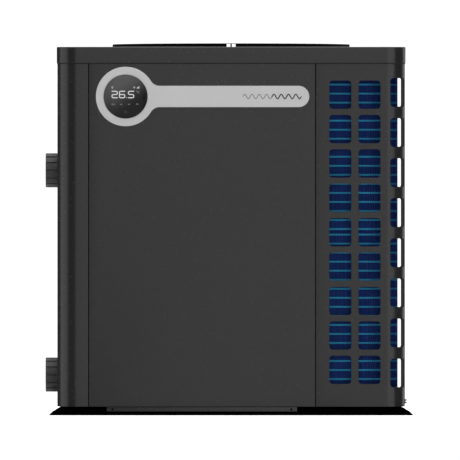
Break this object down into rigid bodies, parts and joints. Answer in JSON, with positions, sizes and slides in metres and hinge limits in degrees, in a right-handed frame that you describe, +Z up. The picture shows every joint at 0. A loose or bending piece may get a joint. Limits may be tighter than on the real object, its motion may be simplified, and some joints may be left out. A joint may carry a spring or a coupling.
{
  "type": "pool heat pump unit",
  "caption": "Square upright pool heat pump with a top fan grille, a perforated side, a flared base, a round touch controller on a silver bar and two union water connections.",
  "frame": {"origin": "on the floor at the fan's axis, at the centre of the base's underside", "axes": "+X to the viewer's right as the controller is faced, +Y from the controller's side to the rear, +Z up"},
  "size_m": [0.8498, 0.838, 0.8568],
  "materials": {
    "charcoal_paint": "satin charcoal powder coat",
    "black_base": "matt black moulded plastic",
    "black_plastic": "matt black",
    "black_steel": "semi-gloss black",
    "union_plastic": "dark grey moulded plastic",
    "silver_trim": "satin silver",
    "dark_glass": "black tinted glass",
    "blue_fins": "blue hydrophilic coating",
    "zinc_steel": "galvanised",
    "bright_steel": "machined",
    "copper": "bare copper tube",
    "brass": "bare brass",
    "aluminium": "extruded",
    "titanium": "bare titanium tube",
    "rubber": "black rubber",
    "grey_pvc": "grey moulded plastic",
    "board_green": "circuit board green"
  },
  "bodies": {
    "cabinet": {"front_panel": "charcoal_paint", "left_side_panel": "charcoal_paint", "rear_service_panel": "charcoal_paint", "front_corner_grille": "charcoal_paint", "side_grille": "charcoal_paint", "rear_corner_grille": "charcoal_paint", "panel_lock_strip": "charcoal_paint", "top_lid": "charcoal_paint", "base_pan": "black_base", "fan_guard": "black_plastic", "fan_shroud": "black_plastic", "controller_housing": "black_plastic", "power_cable_gland": "black_plastic", "valve_solenoid": "black_plastic", "earth_terminal": "black_steel", "lock_screw_left": "black_steel", "lock_screw_right": "black_steel", "compressor_shell": "black_steel", "accumulator": "black_steel", "inlet_port": "union_plastic", "inlet_tail": "union_plastic", "outlet_port": "union_plastic", "outlet_tail": "union_plastic", "badge_plate": "silver_trim", "controller_glass": "dark_glass", "evaporator_lower": "blue_fins", "evaporator_upper": "blue_fins", "coil_end_plate_front": "zinc_steel", "coil_end_plate_rear": "zinc_steel", "partition_wall": "zinc_steel", "compartment_cover": "zinc_steel", "motor_bracket": "zinc_steel", "fan_motor": "zinc_steel", "compressor_foot": "zinc_steel", "control_box": "zinc_steel", "control_box_cover": "zinc_steel", "refrigerant_header": "copper", "discharge_pipe": "copper", "suction_pipe": "copper", "condenser_gas_pipe": "copper", "evaporator_gas_pipe": "copper", "liquid_pipe": "copper", "four_way_valve": "brass", "expansion_valve": "brass", "heat_sink": "aluminium", "titanium_coil": "titanium", "compressor_grommet_1": "rubber", "compressor_grommet_2": "rubber", "compressor_grommet_3": "rubber", "inlet_seal": "rubber", "outlet_seal": "rubber", "exchanger_shell": "grey_pvc", "exchanger_cap": "grey_pvc", "inverter_board": "board_green", "flow_switch": "board_green"},
    "fan": {"motor_shaft": "bright_steel", "fan_impeller": "black_plastic", "hub_nut": "bright_steel"},
    "inlet_nut": {"inlet_union_nut": "union_plastic"},
    "outlet_nut": {"outlet_union_nut": "union_plastic"}
  },
  "joints": [
    {"name": "fan_spin", "type": "hinge", "parent": "cabinet", "child": "fan", "pos_m": [0, 0, 0.78], "axis": [0, 0, 1], "continuous": true},
    {"name": "inlet_nut_turn", "type": "hinge", "parent": "cabinet", "child": "inlet_nut", "pos_m": [-0.4173, 0.1, 0.09], "axis": [-1, 0, 0], "continuous": true},
    {"name": "outlet_nut_turn", "type": "hinge", "parent": "cabinet", "child": "outlet_nut", "pos_m": [-0.4173, 0.1, 0.565], "axis": [-1, 0, 0], "continuous": true}
  ]
}
